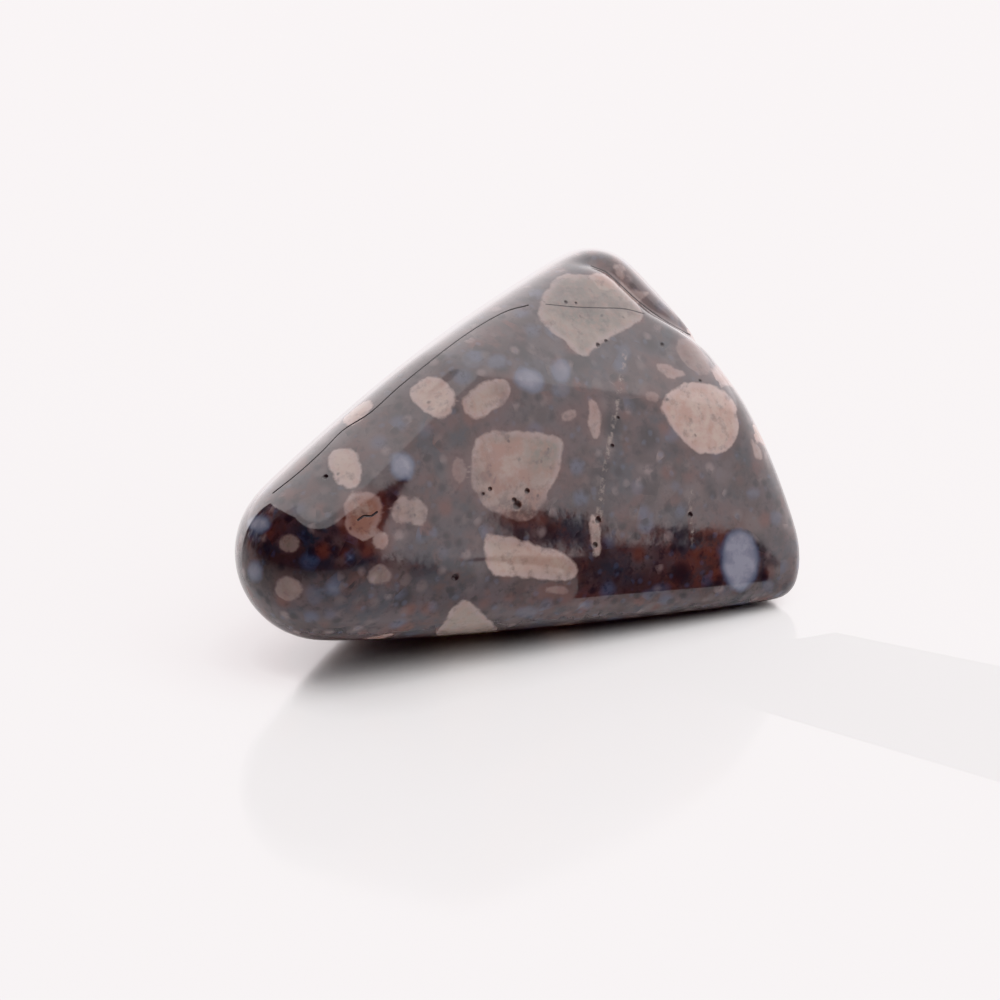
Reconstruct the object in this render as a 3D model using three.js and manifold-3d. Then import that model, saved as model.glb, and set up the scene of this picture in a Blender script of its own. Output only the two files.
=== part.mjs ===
// A tumbled and polished pebble of porphyritic rhyolite, the patterned rock sold as vulcanite.
// It is one solid: a rounded wedge with a broad crowned front face that leans back, a lobe that
// hangs clear of the ground on the left, an apex at the back and a small flat that it rests on.
// Millimetres. +X runs along the stone, its front face looks along -Y, and z = 0 is the ground.

import * as THREE from 'three';
import { mergeVertices } from 'three/addons/utils/BufferGeometryUtils.js';
import Module from 'manifold-3d';

// The rounded corners that the skin is drawn round, each with its centre and how round it is
const CORNERS = [
  { name: 'left lobe', centre: [-12.6, -5.9, 7.6], radius: 5.15 },
  { name: 'left shoulder', centre: [-3.4, -2.7, 14.2], radius: 4.0 },
  { name: 'apex', centre: [7.4, 4.5, 16.9], radius: 3.4 },
  { name: 'right side', centre: [12.0, -0.5, 9.9], radius: 3.8 },
  { name: 'right ankle', centre: [15.7, -3.9, 4.0], radius: 1.9 },
  { name: 'right foot', centre: [15.85, -4.9, 1.9], radius: 1.5 },
  { name: 'front keel', centre: [1.1, -4.2, 1.9], radius: 1.5 },
  { name: 'left heel', centre: [-4.4, 2.2, 4.8], radius: 4.6 },
  { name: 'back', centre: [2.1, 5.9, 9.6], radius: 5.0 },
  { name: 'right rump', centre: [11.2, 6.5, 4.6], radius: 4.2 },
];
// How far one corner's rounding runs into the next, which also crowns the faces between them
const BLEND = 0.3;

// The old fracture that polished out as a shallow groove, from the apex down over the right shoulder
const GROOVE_ROUTE = [
  [6.2, 3.4, 20.2],
  [7.9, 2.7, 19.8],
  [9.5, 1.4, 18.2],
  [10.6, 0.9, 17.3],
  [12.7, 1.0, 15.8],
  [14.0, 2.2, 13.6],
];
const GROOVE_DEPTH = 0.3;
const GROOVE_HALF_WIDTH = 0.6;
// How fully the groove keeps its depth before it runs out at its ends, as an even power
const GROOVE_FULLNESS = 6;
const GROOVE_SAMPLES = 120;

// How fine the facets are: over the whole skin, where it turns sharply, and along the groove
const BALL_DETAIL = 13;
const BALL_STRETCH = [1.6, 1.0, 0.95];
const LONGEST_EDGE_IN_GROOVE = 0.32;
const SHALLOWEST_GROOVE = 0.02;
const SHORTEST_SPLIT_EDGE = 0.55;
const SHARPEST_TURN = THREE.MathUtils.degToRad(14);
const SPLIT_PASSES = 12;

// The search for the skin along a ray: most tries, largest turn in one try, and when it is close enough
const SEARCH_TRIES = 40;
const LARGEST_TURN = 0.3;
const SEARCH_TOLERANCE = 0.0005;
const HALVINGS = 8;

// The point inside the stone that the rays start from
const HEART = new THREE.Vector3(0.5, 0, 8.6);

// A block under the ground, larger than the stone every way, that trims the resting flat
const GROUND_BLOCK = { length: 60, width: 50, depth: 10 };

const corners = CORNERS.map(({ centre, radius }) => ({
  centre: new THREE.Vector3(...centre).sub(HEART),
  radius,
}));
const grooveRoute = new THREE.CatmullRomCurve3(
  GROOVE_ROUTE.map((point) => new THREE.Vector3(...point).sub(HEART)),
);
const groovePoints = grooveRoute.getSpacedPoints(GROOVE_SAMPLES);

// The place on the smooth hull whose outward direction is normal. Each corner counts by how far
// it reaches that way, so the corners' centres are averaged and the skin stands off that average.
// stretch says how fast the place moves as the direction turns.
function hullAt(normal) {
  const reaches = corners.map(({ centre, radius }) => centre.dot(normal) + radius);
  const furthest = Math.max(...reaches);
  const weights = reaches.map((reach) => Math.exp((reach - furthest) / BLEND));
  const total = weights.reduce((sum, weight) => sum + weight, 0);
  const middle = new THREE.Vector3();
  corners.forEach(({ centre }, index) => middle.addScaledVector(centre, weights[index] / total));
  const reach = furthest + BLEND * Math.log(total);
  const roundness = reach - middle.dot(normal);
  const spread = [roundness, 0, 0, 0, roundness, 0, 0, 0, roundness];
  corners.forEach(({ centre }, index) => {
    const offset = centre.clone().sub(middle);
    const across = offset.addScaledVector(normal, -offset.dot(normal)).toArray();
    spread.forEach((_, cell) => {
      spread[cell] += (weights[index] / total / BLEND) * across[cell % 3] * across[Math.floor(cell / 3)];
    });
  });
  const point = middle.addScaledVector(normal, roundness);
  return { normal, point, reach, stretch: new THREE.Matrix3().fromArray(spread) };
}

// How far out along a ray the tangent plane of a place on the hull lies
function planeDistance(ray, place) {
  const slope = ray.dot(place.normal);
  return slope > 0 ? place.reach / slope : Infinity;
}

// Where a ray from the heart leaves the hull: the direction is turned until its own place is on the ray
function hullAlong(ray) {
  let place = hullAt(ray.clone());
  for (let attempt = 0; attempt < SEARCH_TRIES; attempt += 1) {
    const distance = planeDistance(ray, place);
    const miss = ray.clone().multiplyScalar(distance).sub(place.point);
    if (miss.length() < SEARCH_TOLERANCE) {
      break;
    }
    const turn = miss.applyMatrix3(place.stretch.clone().invert()).clampLength(0, LARGEST_TURN);
    for (let halving = 0; halving < HALVINGS; halving += 1) {
      const next = hullAt(place.normal.clone().add(turn).normalize());
      if (planeDistance(ray, next) < distance) {
        place = next;
        break;
      }
      turn.multiplyScalar(0.5);
    }
  }
  return place;
}

// How deep the groove is at a place: deepest on its line, and shallower to the sides and the ends
function grooveDepthAt(point) {
  const depths = groovePoints.map((groovePoint, index) => {
    const fromMiddle = (2 * index) / GROOVE_SAMPLES - 1;
    const spread = groovePoint.distanceTo(point) / GROOVE_HALF_WIDTH;
    return GROOVE_DEPTH * (1 - fromMiddle ** GROOVE_FULLNESS) * Math.exp(-(spread ** 2));
  });
  return Math.max(...depths);
}

// One vertex of the skin: its direction, its place on the hull and the groove's depth there
function makeSpot(ray) {
  const { normal, point } = hullAlong(ray.normalize());
  return { normal, point, grooveDepth: grooveDepthAt(point) };
}

// How many times too coarse an edge is: above 1 it is split
function coarseness(first, second) {
  const length = first.point.distanceTo(second.point);
  const turn = first.normal.angleTo(second.normal);
  const inGroove = Math.max(first.grooveDepth, second.grooveDepth) > SHALLOWEST_GROOVE;
  const tooLong = inGroove ? length / LONGEST_EDGE_IN_GROOVE : 0;
  return Math.max(tooLong, Math.min(turn / SHARPEST_TURN, length / SHORTEST_SPLIT_EDGE));
}

// Every edge of the faces, with the faces on its two sides
function listEdges(faces) {
  const edges = new Map();
  faces.forEach((face, faceIndex) => {
    face.forEach((from, side) => {
      const to = face[(side + 1) % 3];
      const key = `${Math.min(from, to)} ${Math.max(from, to)}`;
      if (!edges.has(key)) {
        edges.set(key, { from, to, owners: [] });
      }
      edges.get(key).owners.push({ faceIndex, side });
    });
  });
  return [...edges.values()];
}

// Splits the coarsest edges first, each face once at most
function splitCoarseEdges(spots, faces) {
  const coarseEdges = listEdges(faces)
    .map((edge) => ({ ...edge, excess: coarseness(spots[edge.from], spots[edge.to]) }))
    .filter((edge) => edge.excess > 1)
    .sort((first, second) => second.excess - first.excess);
  const splitFaces = new Set();
  for (const edge of coarseEdges) {
    if (edge.owners.some(({ faceIndex }) => splitFaces.has(faceIndex))) {
      continue;
    }
    const halfway = spots[edge.from].point.clone().add(spots[edge.to].point);
    const middle = spots.push(makeSpot(halfway)) - 1;
    for (const { faceIndex, side } of edge.owners) {
      const [from, to, opposite] = [0, 1, 2].map((step) => faces[faceIndex][(side + step) % 3]);
      faces[faceIndex] = [from, middle, opposite];
      faces.push([middle, to, opposite]);
      splitFaces.add(faceIndex);
    }
  }
}

// The finished place of a vertex: on the hull, or sunk into the groove
function skinPoint({ normal, point, grooveDepth }) {
  return point.clone().addScaledVector(normal, -grooveDepth).add(HEART);
}

// The whole skin as a closed mesh: a long ball of rays, split where it is too coarse
function makeSkin() {
  const ball = new THREE.IcosahedronGeometry(1, BALL_DETAIL);
  ball.deleteAttribute('normal');
  ball.deleteAttribute('uv');
  const rays = mergeVertices(ball.scale(...BALL_STRETCH));
  const spots = [];
  for (let index = 0; index < rays.attributes.position.count; index += 1) {
    spots.push(makeSpot(new THREE.Vector3().fromBufferAttribute(rays.attributes.position, index)));
  }
  const faces = [];
  for (let index = 0; index < rays.index.count; index += 3) {
    faces.push([0, 1, 2].map((step) => rays.index.getX(index + step)));
  }
  for (let pass = 0; pass < SPLIT_PASSES; pass += 1) {
    splitCoarseEdges(spots, faces);
  }
  const points = spots.flatMap((spot) => skinPoint(spot).toArray());
  const skin = new THREE.BufferGeometry();
  skin.setAttribute('position', new THREE.Float32BufferAttribute(points, 3));
  skin.setIndex(faces.flat());
  return skin;
}

function toSolid(wasm, geometry) {
  const bare = geometry.clone();
  bare.deleteAttribute('normal');
  bare.deleteAttribute('uv');
  const merged = mergeVertices(bare);
  const vertProperties = new Float32Array(merged.attributes.position.array);
  const triVerts = new Uint32Array(merged.index.array);
  return new wasm.Manifold(new wasm.Mesh({ numProp: 3, vertProperties, triVerts }));
}

function toGeometry(solid) {
  const mesh = solid.getMesh();
  const geometry = new THREE.BufferGeometry();
  geometry.setAttribute('position', new THREE.Float32BufferAttribute(mesh.vertProperties, 3));
  geometry.setIndex([...mesh.triVerts]);
  geometry.computeVertexNormals();
  return geometry;
}

// The skin with everything under the ground cut away, which leaves the resting flat
function makeStone(wasm) {
  const block = new THREE.BoxGeometry(GROUND_BLOCK.length, GROUND_BLOCK.width, GROUND_BLOCK.depth);
  block.translate(0, 0, -GROUND_BLOCK.depth / 2);
  return toGeometry(toSolid(wasm, makeSkin()).subtract(toSolid(wasm, block)));
}

const wasm = await Module();
wasm.setup();

const polishedRhyolite = new THREE.MeshStandardMaterial({ color: '#5f5050', roughness: 0.12, metalness: 0 });

const stone = new THREE.Mesh(makeStone(wasm), polishedRhyolite);
stone.name = 'stone';

const specimen = new THREE.Group();
specimen.add(stone);

export default specimen;
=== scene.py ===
"""A tumbled and polished pebble of vulcanite, the dark rhyolite with pale and blue crystals.

The pebble is one piece. Its skin is the smooth hull round ten rounded corners, its relief is the
old groove, the hairline cracks, the pits and the slight waves of tumbling, and its finish shows the
crystals that lie where the front view shows them, with more of their kind all round.
"""

import logging
import math
from dataclasses import dataclass
from enum import Enum

import bmesh
import bpy
import numpy as np
from mathutils import Matrix, Vector


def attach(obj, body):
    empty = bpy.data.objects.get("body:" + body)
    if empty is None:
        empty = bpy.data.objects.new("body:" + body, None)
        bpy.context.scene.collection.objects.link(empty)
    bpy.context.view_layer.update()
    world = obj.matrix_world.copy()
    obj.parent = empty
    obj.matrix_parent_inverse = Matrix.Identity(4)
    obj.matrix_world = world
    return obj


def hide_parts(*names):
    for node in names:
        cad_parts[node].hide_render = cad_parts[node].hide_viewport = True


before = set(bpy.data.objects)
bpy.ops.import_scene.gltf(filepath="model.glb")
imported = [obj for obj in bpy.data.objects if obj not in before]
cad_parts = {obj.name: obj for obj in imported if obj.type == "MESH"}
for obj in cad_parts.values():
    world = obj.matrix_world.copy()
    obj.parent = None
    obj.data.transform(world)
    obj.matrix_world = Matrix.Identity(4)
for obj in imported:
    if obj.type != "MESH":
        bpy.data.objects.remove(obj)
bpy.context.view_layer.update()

LOG = logging.getLogger("vulcanite")
MM = 0.001
FAR = 1.5

Colour = tuple[float, float, float]
Place = tuple[float, float, float]
Pixel = tuple[float, float]
Socket = bpy.types.NodeSocket
Value = bpy.types.NodeSocket | float | tuple[float, ...]


def unit(vectors: np.ndarray) -> np.ndarray:
    """Scale each row to length one."""
    return vectors / np.linalg.norm(vectors, axis=-1, keepdims=True)


def dot(first: np.ndarray, second: np.ndarray) -> np.ndarray:
    """Row by row dot product."""
    return (first * second).sum(axis=-1)


@dataclass(frozen=True)
class FaceView:
    """The view of the stone's front face, in millimetres and degrees.

    The camera stands here, and features seen in the front view are placed by their picture pixels.
    """

    azimuth: float = -18.0
    elevation: float = 23.0
    distance: float = 330.0
    field: float = 60.0
    target: Place = (0.23, 0.16, 6.76)
    pixels: int = 1000

    def axes(self) -> tuple[np.ndarray, np.ndarray, np.ndarray]:
        """Return the picture's right and up directions and the direction back to the camera."""
        turn, rise = math.radians(self.azimuth), math.radians(self.elevation)
        right = np.array([math.cos(turn), math.sin(turn), 0.0])
        back = np.array([math.sin(turn) * math.cos(rise), -math.cos(turn) * math.cos(rise), math.sin(rise)])
        return right, np.cross(back, right), back

    def eye(self) -> np.ndarray:
        """Return the camera's place."""
        return np.array(self.target) + self.axes()[2] * self.distance

    def sight(self, pixel: Pixel) -> np.ndarray:
        """Return the direction from the camera through a picture pixel."""
        right, up, back = self.axes()
        across, down = (np.array(pixel) - self.pixels / 2) * self.field / self.pixels
        return unit(across * right - down * up - self.distance * back)

    def pixels_of(self, points: np.ndarray) -> np.ndarray:
        """Project places in millimetres to picture pixels.

        Args:
            points: one place in each row.

        Returns:
            One pixel in each row, with y counted down.
        """
        right, up, back = self.axes()
        offsets = points - np.array(self.target)
        scale = self.pixels / self.field * self.distance / (self.distance - offsets @ back)
        middle = self.pixels / 2
        return np.stack([middle + scale * (offsets @ right), middle - scale * (offsets @ up)], axis=-1)


@dataclass(frozen=True)
class Corner:
    """One rounded corner of the stone: its centre and how round it is, in millimetres."""

    centre: Place
    radius: float


@dataclass(frozen=True)
class Hull:
    """The smooth hull round the stone's corners.

    Attributes:
        corners: the rounded corners, each with the name of its place on the stone.
        blend: how far one corner's rounding runs into the next.
        heart: the point inside that rays start from.
    """

    corners: dict[str, Corner]
    blend: float = 0.3
    heart: Place = (0.5, 0.0, 8.6)
    tries: int = 40
    halvings: int = 8
    largest_turn: float = 0.3
    tolerance: float = 0.0002

    def at(self, normals: np.ndarray) -> tuple[np.ndarray, np.ndarray, np.ndarray]:
        """Find the places on the hull that face given ways.

        Args:
            normals: one outward direction in each row.

        Returns:
            The places, measured from the heart, how far each tangent plane lies from the heart,
            and how fast each place moves as its direction turns.
        """
        centres = np.array([corner.centre for corner in self.corners.values()]) - np.array(self.heart)
        radii = np.array([corner.radius for corner in self.corners.values()])
        reaches = (normals @ centres.T + radii) / self.blend
        furthest = reaches.max(axis=1, keepdims=True)
        weights = np.exp(reaches - furthest)
        total = weights.sum(axis=1, keepdims=True)
        weights /= total
        middle = weights @ centres
        reach = self.blend * (furthest + np.log(total))[:, 0]
        roundness = reach - dot(middle, normals)
        offsets = centres[None] - middle[:, None]
        across = offsets - (offsets @ normals[:, :, None]) * normals[:, None]
        stretch = np.einsum("nc,nci,ncj->nij", weights / self.blend, across, across)
        stretch += roundness[:, None, None] * np.eye(3)
        return middle + roundness[:, None] * normals, reach, stretch

    def along(self, rays: np.ndarray) -> tuple[np.ndarray, np.ndarray]:
        """Find where rays from the heart leave the hull.

        Args:
            rays: one direction of length one in each row.

        Returns:
            The places in millimetres and the outward directions there.
        """
        normals = rays.copy()
        points, reach, stretch = self.at(normals)
        for _ in range(self.tries):
            distance = reach / dot(rays, normals)
            miss = rays * distance[:, None] - points
            if np.abs(miss).max() < self.tolerance:
                break
            turn = np.linalg.solve(stretch, miss[:, :, None])[:, :, 0]
            size = np.linalg.norm(turn, axis=1, keepdims=True)
            turn *= np.minimum(1.0, self.largest_turn / np.maximum(size, 1e-12))
            waiting = np.arange(len(rays))
            for _ in range(self.halvings):
                trial = unit(normals[waiting] + turn[waiting])
                places, reaches, stretches = self.at(trial)
                slope = dot(rays[waiting], trial)
                better = (slope > 0) & (reaches < distance[waiting] * slope)
                chosen = waiting[better]
                normals[chosen] = trial[better]
                points[chosen] = places[better]
                reach[chosen] = reaches[better]
                stretch[chosen] = stretches[better]
                waiting = waiting[~better]
                turn[waiting] *= 0.5
                if not len(waiting):
                    break
        return points + np.array(self.heart), normals


STONE_HULL = Hull(
    corners={
        "left lobe": Corner((-12.6, -5.9, 7.6), 5.15),
        "left shoulder": Corner((-3.4, -2.7, 14.2), 4.0),
        "apex": Corner((7.4, 4.5, 16.9), 3.4),
        "right side": Corner((12.0, -0.5, 9.9), 3.8),
        "right ankle": Corner((15.7, -3.9, 4.0), 1.9),
        "right foot": Corner((15.85, -4.9, 1.9), 1.5),
        "front keel": Corner((1.1, -4.2, 1.9), 1.5),
        "left heel": Corner((-4.4, 2.2, 4.8), 4.6),
        "back": Corner((2.1, 5.9, 9.6), 5.0),
        "right rump": Corner((11.2, 6.5, 4.6), 4.2),
    }
)


def smooth_route(points: np.ndarray, samples: int = 30) -> np.ndarray:
    """Run a smooth curve through points.

    Args:
        points: the places that the curve passes, in order.
        samples: how many places to give for each stretch.

    Returns:
        Places along the curve, in order.
    """
    padded = np.vstack([2 * points[0] - points[1], points, 2 * points[-1] - points[-2]])
    share = np.linspace(0.0, 1.0, samples, endpoint=False)[:, None]
    stretches = []
    for before, start, end, after in zip(padded, padded[1:], padded[2:], padded[3:]):
        bend = 2 * before - 5 * start + 4 * end - after
        twist = 3 * (start - end) + after - before
        stretches.append(start + 0.5 * share * (end - before + share * (bend + share * twist)))
    return np.vstack([*stretches, points[-1:]])


def distance_to_route(points: np.ndarray, route: np.ndarray) -> np.ndarray:
    """Return how far each point is from the nearest place of a finely sampled route."""
    nearest = np.full(len(points), np.inf)
    for place in route:
        nearest = np.minimum(nearest, ((points - place) ** 2).sum(axis=1))
    return np.sqrt(nearest)


class LineKind(Enum):
    """What a line on the skin is: an open hairline, which the finish darkens with painted shade, or a healed
    pale vein.
    """

    CRACK = "crack"
    VEIN = "vein"


@dataclass(frozen=True)
class Line:
    """A line on the skin, along picture pixels of the front view.

    Attributes:
        kind: whether it is a crack or a vein.
        route: the pixels that it passes.
        width: its full width in millimetres.
        depth: how deep it is sunk, in millimetres.
    """

    kind: LineKind
    route: tuple[Pixel, ...]
    width: float
    depth: float = 0.0


LINES = {
    "ridge crack": Line(
        LineKind.CRACK,
        (
            (273, 493), (298, 473), (322, 451), (343, 430), (371, 412), (404, 383), (461, 338), (502, 313),
            (528, 305),
        ),
        0.11, 0.07,
    ),
    "crack across the green crystal": Line(
        LineKind.CRACK, ((546, 304), (575, 307), (600, 308), (624, 309), (645, 314)), 0.05, 0.03,
    ),
    "crack in the groove": Line(
        LineKind.CRACK, ((592, 263), (608, 269), (625, 284), (640, 298), (660, 313), (690, 331), (704, 343)),
        0.09, 0.05,
    ),
    "crack in the orange crystal": Line(
        LineKind.CRACK, ((358, 520), (364, 516), (371, 516), (377, 512)), 0.1, 0.02,
    ),
    "healed zigzag": Line(LineKind.VEIN, ((590, 288), (591, 301), (603, 298), (616, 290)), 0.12),
    "upright vein": Line(
        LineKind.VEIN, ((625, 352), (622, 375), (618, 400), (610, 440), (605, 470), (600, 500)), 0.4,
    ),
    "pitted end of the vein": Line(LineKind.VEIN, ((601, 500), (598, 525), (596, 553)), 0.55),
    "short pitted vein": Line(LineKind.VEIN, ((692, 492), (690, 515), (694, 545)), 0.35),
    "edge chips": Line(LineKind.VEIN, ((757, 425), (764, 440), (767, 457)), 0.12),
}


@dataclass(frozen=True)
class Pit:
    """A tiny pit, at a picture pixel, with its radius and depth in millimetres."""

    pixel: Pixel
    radius: float
    depth: float


PITS = (
    Pit((325, 477), 0.22, 0.08),
    Pit((455, 577), 0.25, 0.08),
    Pit((566, 302), 0.16, 0.06),
    Pit((576, 303), 0.12, 0.05),
    Pit((598, 345), 0.2, 0.07),
    Pit((606, 341), 0.16, 0.06),
    Pit((517, 505), 0.32, 0.09),
    Pit((514, 500), 0.18, 0.06),
    Pit((527, 491), 0.2, 0.06),
    Pit((490, 489), 0.16, 0.04),
    Pit((483, 494), 0.13, 0.04),
    Pit((598, 520), 0.24, 0.08),
    Pit((595, 545), 0.22, 0.08),
    Pit((690, 515), 0.2, 0.07),
    Pit((662, 345), 0.2, 0.06),
    Pit((700, 381), 0.15, 0.05),
    Pit((618, 418), 0.14, 0.05),
    Pit((612, 446), 0.16, 0.05),
)


class Mineral(Enum):
    """The two kinds of large crystal in the rock."""

    FELDSPAR = "feldspar"
    QUARTZ = "quartz"


@dataclass(frozen=True)
class Crystal:
    """A crystal that the front view shows.

    Attributes:
        outline: its corners in picture pixels.
        pink: how peach it is, from 0 for cream to 1.
        green: how much of it has turned grey-green, from 0 to 1.
        light: how pale and clear it is, from 0 for one sunk in the rock to 1 for a clear one, or a
            little more for the clearest.
        depth: how far it goes into the stone, in millimetres.
    """

    outline: tuple[Pixel, ...]
    pink: float = 0.3
    green: float = 0.0
    light: float = 1.0
    depth: float = 3.0


def oval(
    x: float, y: float, width: float, height: float, tilt: float = 0.0, corners: int = 10,
) -> tuple[Pixel, ...]:
    """Return the outline of an oval.

    Args:
        x: its middle's picture pixel across.
        y: its middle's picture pixel down.
        width: its width in pixels before it is tilted.
        height: its height in pixels before it is tilted.
        tilt: how far it is turned, in degrees clockwise.
        corners: how many corners the outline has.

    Returns:
        The outline's pixels.
    """
    turn = math.radians(tilt)
    outline = []
    for index in range(corners):
        angle = 2 * math.pi * index / corners
        across, down = width / 2 * math.cos(angle), height / 2 * math.sin(angle)
        outline.append((
            x + across * math.cos(turn) - down * math.sin(turn),
            y + across * math.sin(turn) + down * math.cos(turn),
        ))
    return tuple(outline)


FELDSPARS = {
    "kite": Crystal(
        (
            (480, 432), (522, 430), (565, 438), (559, 473), (546, 497), (533, 522), (508, 518), (482, 506),
            (471, 485), (471, 453),
        ),
        pink=0.7, green=0.15, light=0.66,
    ),
    "bar": Crystal(
        ((482, 534), (506, 536), (536, 545), (563, 553), (580, 571), (572, 582), (530, 577), (488, 577)),
        pink=0.25, light=0.8,
    ),
    "right block": Crystal(
        ((680, 383), (710, 383), (735, 400), (739, 432), (727, 453), (698, 455), (676, 436), (657, 404)),
        pink=0.45, light=1.05,
    ),
    "cream lozenge": Crystal(
        (
            (412, 386), (428, 376), (445, 380), (453, 392), (456, 405), (447, 418), (436, 419), (422, 410),
            (410, 399),
        ),
        pink=0.2, light=1.15,
    ),
    "veined": Crystal(
        (
            (472, 391), (487, 380), (505, 378), (512, 390), (505, 403), (492, 410), (480, 420), (466, 415),
            (461, 402),
        ),
        pink=0.6, green=0.2, light=0.72,
    ),
    "upright egg": Crystal(
        ((330, 452), (345, 446), (356, 453), (363, 470), (360, 485), (350, 489), (338, 483), (328, 468)),
        pink=0.15, light=1.0,
    ),
    "orange": Crystal(
        (
            (344, 503), (350, 494), (366, 490), (380, 496), (384, 508), (380, 520), (371, 538), (358, 541),
            (345, 530),
        ),
        pink=1.0, light=0.62,
    ),
    "orange bead": Crystal(oval(381, 541, 17, 18), pink=0.9, light=0.55),
    "left twin": Crystal(oval(402, 511, 22, 29, 10), pink=0.35, green=0.1, light=0.5),
    "right twin": Crystal(oval(417, 512, 20, 30, -8), pink=0.35, green=0.1, light=0.5),
    "lobe bead": Crystal(oval(289, 543, 21, 20), pink=0.1, green=0.3, light=0.42),
    "low bead": Crystal(oval(380, 575, 24, 23), pink=0.3, green=0.3, light=0.3),
    "low lobe bead": Crystal(oval(289, 589, 28, 24), pink=0.4, green=0.0, light=0.38),
    "green top": Crystal(
        (
            (559, 273), (592, 277), (613, 282), (633, 293), (645, 318), (625, 330), (608, 338), (596, 348),
            (582, 359), (567, 342), (550, 330), (539, 318), (539, 302),
        ),
        pink=0.1, green=0.8, light=0.7,
    ),
    "pink corner": Crystal(
        ((588, 274), (604, 272), (622, 283), (618, 293), (605, 300), (590, 299)), pink=0.65, light=1.0,
    ),
    "foot triangle": Crystal(
        ((465, 597), (480, 610), (501, 628), (467, 642), (430, 636), (448, 612)),
        pink=0.15, green=0.5, light=0.62,
    ),
    "pink fleck": Crystal(oval(569, 415, 17, 11, -20), pink=0.7, light=0.4),
    "pink sliver": Crystal(
        ((588, 399), (598, 401), (601, 420), (597, 441), (590, 430)), pink=0.6, light=0.55,
    ),
    "pale sliver": Crystal(
        ((589, 511), (597, 515), (602, 540), (598, 557), (591, 545)), pink=0.35, light=0.7,
    ),
    "edge fleck": Crystal(((750, 437), (758, 445), (764, 460), (754, 459)), pink=0.4, light=0.45),
    "shoulder fleck": Crystal(
        ((678, 338), (692, 340), (706, 356), (713, 372), (700, 376), (686, 366), (676, 352)),
        pink=0.6, light=0.25,
    ),
    "apex fleck": Crystal(
        ((612, 263), (628, 267), (645, 281), (653, 293), (640, 291), (622, 277)), pink=0.5, light=0.6,
    ),
    "shoulder speck": Crystal(
        ((655, 362), (672, 367), (688, 374), (672, 380), (660, 372)), pink=0.65, light=0.5,
    ),
    "dusky oval": Crystal(oval(459, 470, 14, 30, -8), pink=0.8, light=0.25),
    "ridge cream": Crystal(
        ((342, 420), (352, 410), (366, 401), (374, 404), (366, 416), (350, 427)), pink=0.25, light=1.0,
    ),
    "small red fleck": Crystal(oval(652, 396, 14, 10, 20), pink=0.9, light=0.3),
    "low red fleck": Crystal(oval(556, 590, 26, 8, 4), pink=0.9, light=0.25),
}

QUARTZES = {
    "first eye": Crystal(oval(529, 380, 34, 24, 25), light=0.8),
    "second eye": Crystal(oval(561, 371, 21, 27, -10), light=0.72),
    "third eye": Crystal(oval(497, 361, 21, 16), light=0.55),
    "faint eye": Crystal(oval(472, 361, 19, 17), light=0.35),
    "shadowed eye": Crystal(oval(561, 390, 18, 16), light=0.4),
    "left eye": Crystal(oval(402, 466, 26, 31, -25), light=1.1),
    "great eye": Crystal(
        (
            (722, 545), (729, 531), (742, 528), (755, 538), (760, 558), (756, 579), (743, 592), (729, 589),
            (720, 568),
        ),
        light=1.4,
    ),
    "lobe eye": Crystal(oval(259, 524, 25, 19), light=1.4),
    "low lobe eye": Crystal(oval(255, 571, 16, 22, -10), light=0.75),
    "bead eye": Crystal(oval(333, 589, 15, 14), light=0.6),
    "dim eye": Crystal(oval(314, 595, 18, 20), light=0.35),
    "small eye": Crystal(oval(433, 534, 9, 8), light=0.5),
    "blue bead": Crystal(oval(349, 557, 9, 16, 10), light=0.8),
    "high eye": Crystal(oval(624, 353, 14, 18), light=0.45),
    "teal eye": Crystal(oval(425, 430, 15, 16, 20), light=0.35),
    "right bead": Crystal(oval(753, 493, 13, 12), light=0.5),
    "right edge eye": Crystal(oval(776, 518, 11, 16), light=0.5),
    "middle eye": Crystal(oval(637, 487, 13, 14), light=0.35),
    "middle bead": Crystal(oval(675, 486, 9, 10), light=0.4),
    "low eye": Crystal(oval(527, 612, 24, 13, -5), light=0.4),
    "low right eye": Crystal(oval(660, 589, 22, 11, -5), light=0.4),
    "foot eye": Crystal(oval(768, 585, 12, 12), light=0.45),
    "lower bead": Crystal(oval(433, 606, 11, 10), light=0.4),
    "toe eye": Crystal(oval(745, 604, 11, 7), light=0.4),
}


@dataclass(frozen=True)
class Patch:
    """A soft stain in the rock, at a picture pixel, with its half sizes in pixels and its strength."""

    pixel: Pixel
    across: float
    down: float
    strength: float = 1.0


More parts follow.
